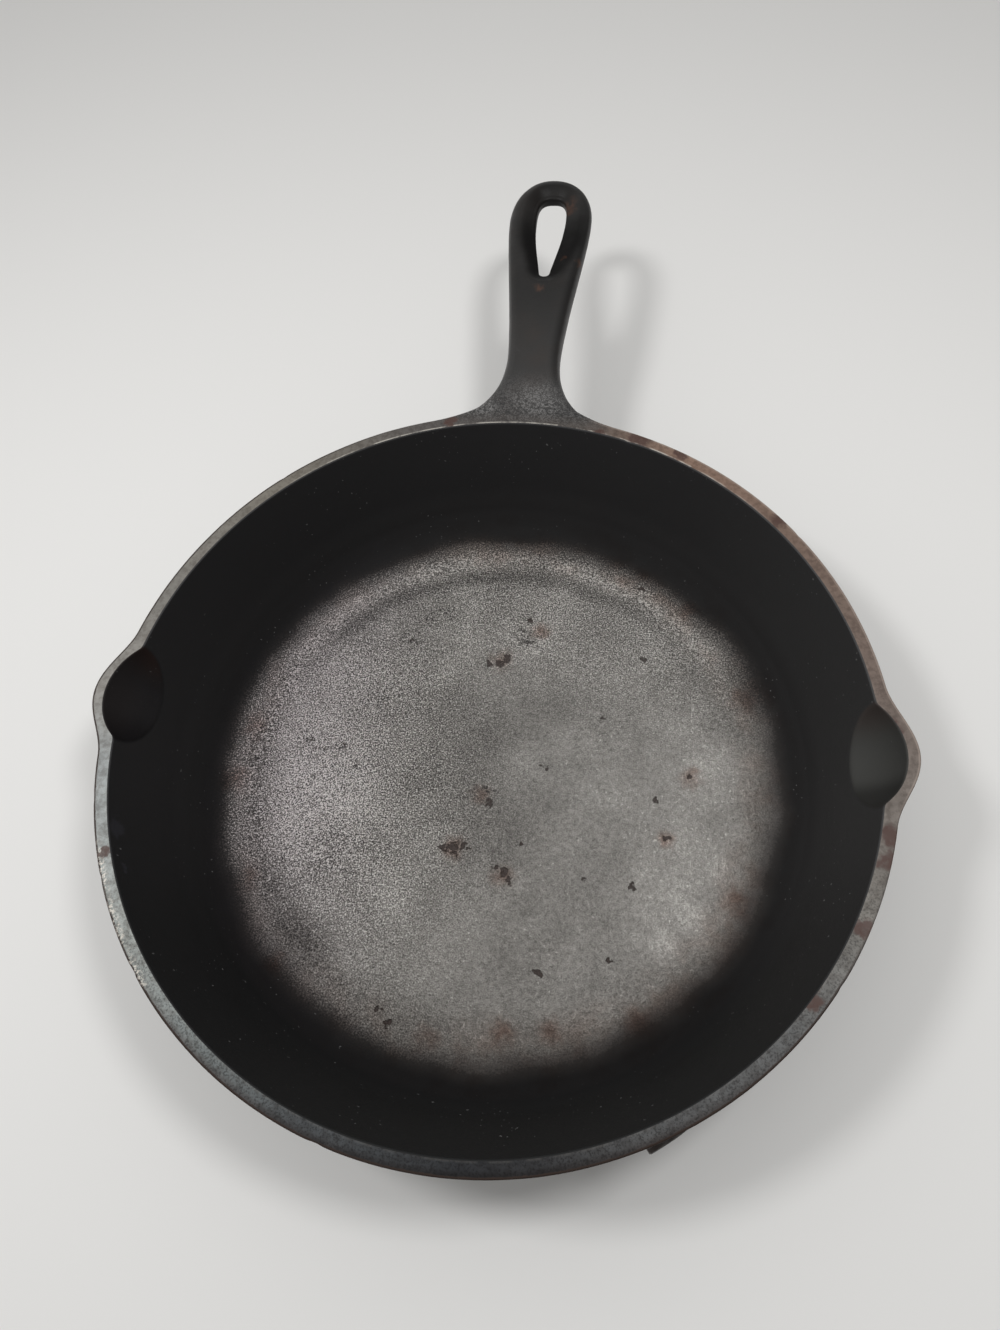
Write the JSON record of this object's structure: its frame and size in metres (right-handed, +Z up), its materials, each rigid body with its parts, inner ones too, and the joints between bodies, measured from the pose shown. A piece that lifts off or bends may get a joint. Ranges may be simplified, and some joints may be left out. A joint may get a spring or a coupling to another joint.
{
  "type": "cast iron skillet",
  "caption": "Round cast iron frying pan with sloping wall, flat rim, a pour spout at each side and a tapered handle ending in a teardrop hanging eye.",
  "frame": {"origin": "centre of the pan's flat underside, on the surface that the skillet stands on", "axes": "+Z up through the middle of the pan, +Y along the handle to its tip, +X towards the right pour spout"},
  "size_m": [0.2802, 0.4068, 0.0544],
  "materials": {
    "seasoned_iron": "satin seasoned cast iron, near black",
    "cooking_iron": "worn cooking surface, warm grey, fine grain"
  },
  "bodies": {
    "root": {"pan_floor": "cooking_iron", "side_wall": "seasoned_iron", "left_pour_spout": "seasoned_iron", "right_pour_spout": "seasoned_iron", "handle_root": "seasoned_iron", "handle_grip": "seasoned_iron", "hanging_eye": "seasoned_iron"}
  },
  "joints": []
}
